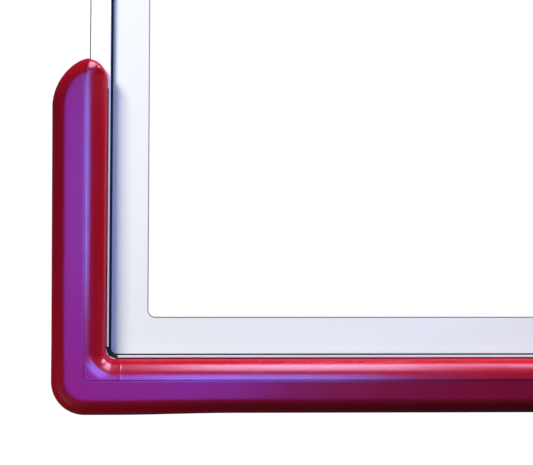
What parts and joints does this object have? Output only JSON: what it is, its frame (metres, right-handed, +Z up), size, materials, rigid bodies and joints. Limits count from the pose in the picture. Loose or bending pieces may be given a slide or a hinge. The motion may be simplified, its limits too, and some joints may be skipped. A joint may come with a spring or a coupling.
{
  "type": "basketball backboard",
  "caption": "Glass basketball backboard in a white frame, with maroon moulded padding along its lower edge, a sprung breakaway goal with a knotted net, and dark uprights behind.",
  "frame": {"origin": "centre of the rear mounting plane: the middle of the cross bar's rear face, level with the middle of the board", "axes": "+X to the right seen from the court along the board's long side, +Y away from the court out of the rear mounting plane, +Z up"},
  "size_m": [1.906, 0.695, 1.347],
  "materials": {
    "glass": "clear toughened glass",
    "frame": "white powder coat on extruded aluminium",
    "gasket": "matt black glazing rubber",
    "steel_dark": "dark powder coat on steel",
    "zinc": "zinc plated",
    "padding": "semi-gloss skin of moulded maroon polyurethane foam",
    "orange": "semi-gloss orange powder coat on steel",
    "rubber": "matt black rubber",
    "nylon": "white braided nylon cord"
  },
  "bodies": {
    "board": {"corner_key_bottom_left": "zinc", "corner_key_bottom_right": "zinc", "corner_key_top_left": "zinc", "corner_key_top_right": "zinc", "cross_bar": "steel_dark", "frame_rail_bottom": "frame", "frame_rail_left": "frame", "frame_rail_right": "frame", "frame_rail_top": "frame", "gasket_bottom": "gasket", "gasket_left": "gasket", "gasket_right": "gasket", "gasket_top": "gasket", "glass_bushing_1": "rubber", "glass_bushing_2": "rubber", "glass_bushing_3": "rubber", "glass_bushing_4": "rubber", "glass_panel": "glass", "goal_back_plate": "orange", "goal_bolt_1": "zinc", "goal_bolt_2": "zinc", "goal_bolt_3": "zinc", "goal_bolt_4": "zinc", "goal_cover": "orange", "goal_nut_1": "zinc", "goal_nut_2": "zinc", "goal_nut_3": "zinc", "goal_nut_4": "zinc", "goal_plate": "steel_dark", "goal_side_plate_left": "orange", "goal_side_plate_right": "orange", "mount_plate_bottom_left": "steel_dark", "mount_plate_bottom_right": "steel_dark", "mount_plate_top_left": "steel_dark", "mount_plate_top_right": "steel_dark", "pad_left": "padding", "pad_right": "padding", "pad_strip_bottom_left": "frame", "pad_strip_bottom_right": "frame", "pad_strip_side_left": "frame", "pad_strip_side_right": "frame", "pin_spacer_left": "zinc", "pin_spacer_right": "zinc", "pivot_pin": "steel_dark", "spring_guide_left": "zinc", "spring_guide_right": "zinc", "spring_left": "zinc", "spring_right": "zinc", "stop_bar": "orange", "stop_bumper": "rubber", "upright_left": "steel_dark", "upright_right": "steel_dark"},
    "ring_assembly": {"ring": "orange", "ring_arm": "orange", "ring_flange": "orange", "spring_adjuster_left": "zinc", "spring_adjuster_right": "zinc", "net_upper": "nylon"},
    "net": {"net_lower": "nylon"}
  },
  "joints": [
    {"name": "ring_breakaway", "type": "hinge", "parent": "board", "child": "ring_assembly", "pos_m": [0, -0.15, -0.405], "axis": [1, 0, 0], "range_deg": [0, 30], "stiffness_Nm_per_rad": 600, "springref_deg": -38.39, "deforming": ["spring_left", "spring_right"]},
    {"name": "net_hang", "type": "hinge", "parent": "ring_assembly", "child": "net", "pos_m": [0, -0.448, -0.384], "axis": [1, 0, 0], "range_deg": [-30, 0]}
  ],
  "couplings": [
    {"joint": "net_hang", "follows": "ring_breakaway", "ratio": -1}
  ]
}
